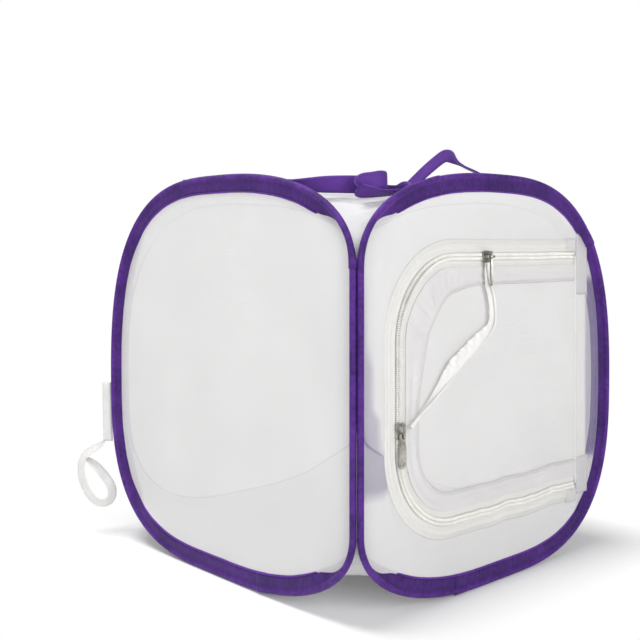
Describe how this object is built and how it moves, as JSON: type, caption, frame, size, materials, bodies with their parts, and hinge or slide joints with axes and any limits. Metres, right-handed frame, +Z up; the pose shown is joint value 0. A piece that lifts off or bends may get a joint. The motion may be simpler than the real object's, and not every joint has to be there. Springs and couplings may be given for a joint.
{
  "type": "pop-up butterfly habitat",
  "caption": "Square pop-up insect cage: spring-steel loops in purple sleeves, fine white net walls, cloth top and floor with gussets, zipped D-shaped door, webbing handles and a storage tie",
  "frame": {"origin": "middle of the box round the model, on the surface that it stands on", "axes": "Z up; the door faces -Y with its hinge seam towards +X; the storage tie hangs at the -X +Y corner"},
  "size_m": [0.3282, 0.3342, 0.35],
  "materials": {
    "spring_steel": "brushed",
    "sleeve_fabric": "woven polyester",
    "net": "fine net",
    "cloth": "plain weave",
    "zip_tape": "woven tape",
    "zip_coil": "satin",
    "nickel": "nickel plated",
    "webbing": "ribbed webbing",
    "satin": "satin"
  },
  "bodies": {
    "front": {"front_wire": "spring_steel", "front_ferrule": "spring_steel", "front_sleeve": "sleeve_fabric", "front_net": "net", "top_panel": "cloth", "floor_panel": "cloth", "frame_zip_tape": "zip_tape", "frame_zip_coil": "zip_coil", "door_hinge_tape": "zip_tape", "upper_end_tab": "zip_tape", "lower_end_tab": "zip_tape"},
    "left": {"left_wire": "spring_steel", "left_ferrule": "spring_steel", "left_sleeve": "sleeve_fabric", "left_net": "net", "left_handle": "webbing", "storage_tie_tab": "satin", "storage_tie_band": "satin"},
    "back": {"back_wire": "spring_steel", "back_ferrule": "spring_steel", "back_sleeve": "sleeve_fabric", "back_net": "net"},
    "right": {"right_wire": "spring_steel", "right_ferrule": "spring_steel", "right_sleeve": "sleeve_fabric", "right_net": "net", "right_handle": "webbing"},
    "door": {"door_zip_tape": "zip_tape", "door_zip_coil": "zip_coil", "door_border": "cloth", "door_net": "net", "pull_ribbon": "satin"},
    "upper_slider": {"upper_slider": "nickel"},
    "lower_slider": {"lower_slider": "nickel"},
    "upper_pull": {"upper_pull_tab": "nickel"},
    "lower_pull": {"lower_pull_tab": "nickel"}
  },
  "joints": [
    {"name": "fold_left", "type": "hinge", "parent": "front", "child": "left", "pos_m": [-0.14283, -0.15786, 0.155], "axis": [0, 0, 1], "range_deg": [0, 85], "stiffness_Nm_per_rad": 0.03, "springref_deg": -20.05, "deforming": ["top_panel", "floor_panel", "left_handle"]},
    {"name": "fold_back", "type": "hinge", "parent": "left", "child": "back", "pos_m": [-0.13313, 0.13344, 0.155], "axis": [0, 0, 1], "range_deg": [-85, 0]},
    {"name": "fold_right", "type": "hinge", "parent": "front", "child": "right", "pos_m": [0.14847, -0.14816, 0.155], "axis": [0, 0, 1], "range_deg": [0, 85]},
    {"name": "door_hinge", "type": "hinge", "parent": "front", "child": "door", "pos_m": [0.1141, -0.15796, 0.15143], "axis": [0, 0, -1], "range_deg": [-140, 0]},
    {"name": "upper_slide", "type": "slide", "parent": "door", "child": "upper_slider", "axis": [1, 0, 0], "range_m": [-0.032, 0.09], "deforming": ["pull_ribbon"]},
    {"name": "lower_slide", "type": "slide", "parent": "door", "child": "lower_slider", "axis": [0, 0, 1], "range_m": [-0.009, 0.054]},
    {"name": "upper_pull_swing", "type": "hinge", "parent": "upper_slider", "child": "upper_pull", "pos_m": [-0.00732, -0.16431, 0.24707], "axis": [1, 0, 0], "range_deg": [-125, 0]},
    {"name": "lower_pull_swing", "type": "hinge", "parent": "lower_slider", "child": "lower_pull", "pos_m": [-0.10333, -0.16256, 0.12723], "axis": [1, 0, 0], "range_deg": [-125, 0]}
  ],
  "couplings": [
    {"joint": "fold_back", "follows": "fold_left", "ratio": -1},
    {"joint": "fold_right", "follows": "fold_left", "ratio": 1}
  ]
}
